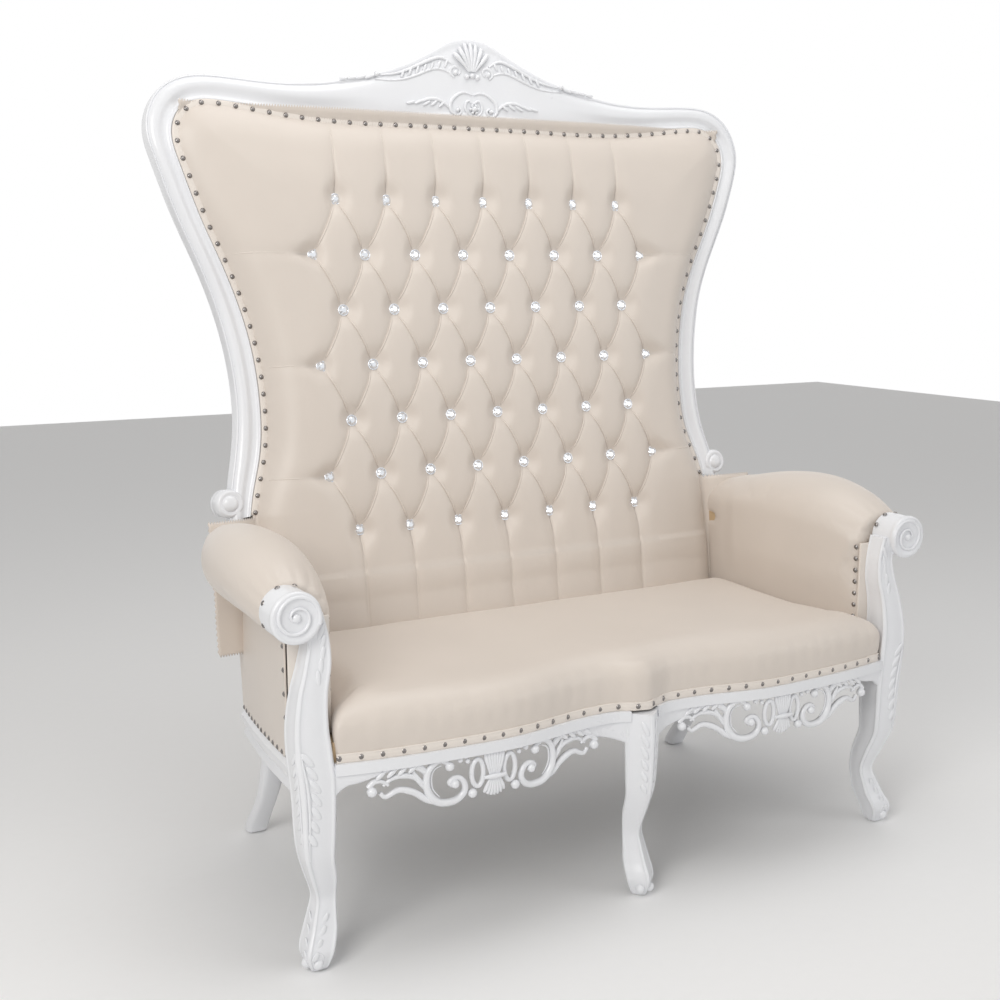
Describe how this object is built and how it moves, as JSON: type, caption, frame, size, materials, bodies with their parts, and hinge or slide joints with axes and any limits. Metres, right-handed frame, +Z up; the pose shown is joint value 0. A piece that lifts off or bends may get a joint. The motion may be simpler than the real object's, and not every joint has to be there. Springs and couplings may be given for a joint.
{
  "type": "high back settee",
  "caption": "High back settee with a tufted, waisted back, carved white frame and scroll arms.",
  "frame": {"origin": "on the floor, under the middle of the whole settee", "axes": "+Z up, front towards -Y, +X to the viewer's right when facing the front"},
  "size_m": [1.6148, 0.8462, 1.8297],
  "materials": {
    "white_lacquered_wood": "gloss white lacquer",
    "cream_leather": "soft sheen faux leather",
    "dark_steel": "polished",
    "crystal_button": "faceted, in a bright rim",
    "plain_wood": "bare",
    "black_cloth": "plain woven",
    "jute_webbing": "woven",
    "nylon_glide": "plain"
  },
  "bodies": {
    "root": {"crest_rail": "white_lacquered_wood", "back_stile_right": "white_lacquered_wood", "back_stile_left": "white_lacquered_wood", "rear_post_right": "white_lacquered_wood", "rear_post_left": "white_lacquered_wood", "front_leg_right": "white_lacquered_wood", "front_leg_left": "white_lacquered_wood", "front_leg_centre": "white_lacquered_wood", "front_moulding_right": "white_lacquered_wood", "front_moulding_left": "white_lacquered_wood", "carved_apron_right": "white_lacquered_wood", "carved_apron_left": "white_lacquered_wood", "side_rail_right": "white_lacquered_wood", "side_rail_left": "white_lacquered_wood", "arm_post_right": "white_lacquered_wood", "arm_post_left": "white_lacquered_wood", "crest_shell": "white_lacquered_wood", "crest_band_right": "white_lacquered_wood", "crest_band_left": "white_lacquered_wood", "crest_scroll_right": "white_lacquered_wood", "crest_scroll_left": "white_lacquered_wood", "crest_cartouche": "white_lacquered_wood", "front_rail_right": "plain_wood", "front_rail_left": "plain_wood", "rear_seat_rail": "plain_wood", "centre_stretcher": "plain_wood", "corner_blocks": "plain_wood", "arm_rail_right": "plain_wood", "arm_rail_left": "plain_wood", "back_lower_rail": "plain_wood", "back_slats": "plain_wood", "frame_dowels": "plain_wood", "back_pad": "cream_leather", "seat_cushion": "cream_leather", "arm_pad_right": "cream_leather", "arm_pad_left": "cream_leather", "outside_arm_right": "cream_leather", "outside_arm_left": "cream_leather", "outside_back": "cream_leather", "back_strip": "cream_leather", "back_nails": "dark_steel", "seat_nails": "dark_steel", "side_nails_right": "dark_steel", "side_nails_left": "dark_steel", "arm_nails_right": "dark_steel", "arm_nails_left": "dark_steel", "seat_springs": "dark_steel", "spring_clips": "dark_steel", "block_screws": "dark_steel", "back_bolts": "dark_steel", "back_buttons": "crystal_button", "seat_deck": "black_cloth", "dust_cover": "black_cloth", "back_webbing": "jute_webbing", "foot_glides": "nylon_glide"}
  },
  "joints": []
}
